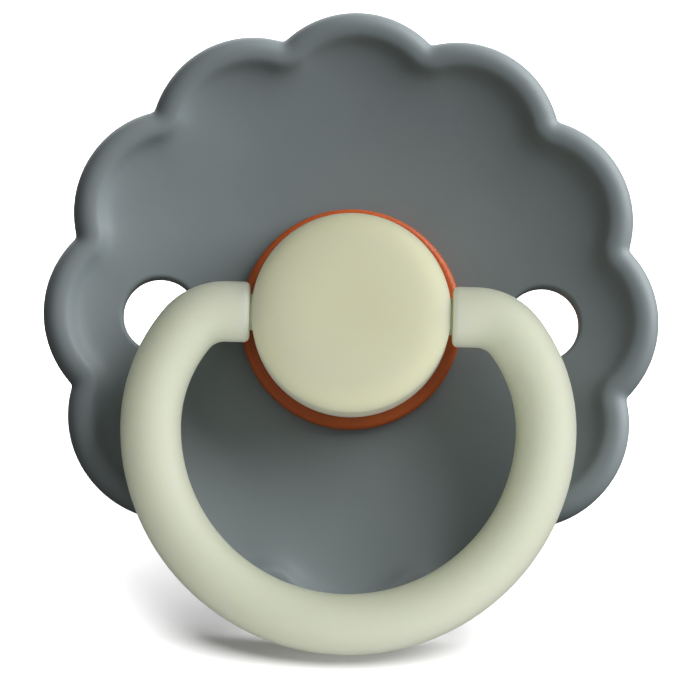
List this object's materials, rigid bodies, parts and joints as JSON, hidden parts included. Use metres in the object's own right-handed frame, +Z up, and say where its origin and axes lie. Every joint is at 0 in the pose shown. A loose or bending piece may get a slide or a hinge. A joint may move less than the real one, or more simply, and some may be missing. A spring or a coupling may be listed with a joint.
{
  "type": "pacifier",
  "caption": "Baby's pacifier with a scalloped dished guard, a round natural-rubber teat, a round button and a swinging ring handle.",
  "frame": {"origin": "under the middle of the pacifier, on the table that it lies on", "axes": "+X along the handle's pivot, to the right seen from the front; -Y is the side that the button faces; +Z up from the table. The pacifier's own axis leans back by the angle at which it rests on one petal and on the teat."},
  "size_m": [0.044, 0.0438, 0.0389],
  "materials": {
    "guard_plastic": "fine matte, sage grey",
    "natural_rubber": "smooth, slightly glossy, translucent amber latex",
    "plug_plastic": "as moulded",
    "cream_plastic": "satin, faintly translucent greenish cream"
  },
  "bodies": {
    "hub": {"teat": "natural_rubber", "plug": "plug_plastic", "button_cap": "cream_plastic"},
    "guard": {"shield": "guard_plastic"},
    "handle": {"ring_handle": "cream_plastic"}
  },
  "joints": [
    {"name": "guard_turn", "type": "hinge", "parent": "hub", "child": "guard", "pos_m": [0, -0.00348, 0.01853], "axis": [0, 0.8629, -0.5054], "continuous": true},
    {"name": "ring_swing", "type": "hinge", "parent": "hub", "child": "handle", "pos_m": [0, -0.00745, 0.02085], "axis": [-1, 0, 0], "range_deg": [0, 172.7]}
  ]
}
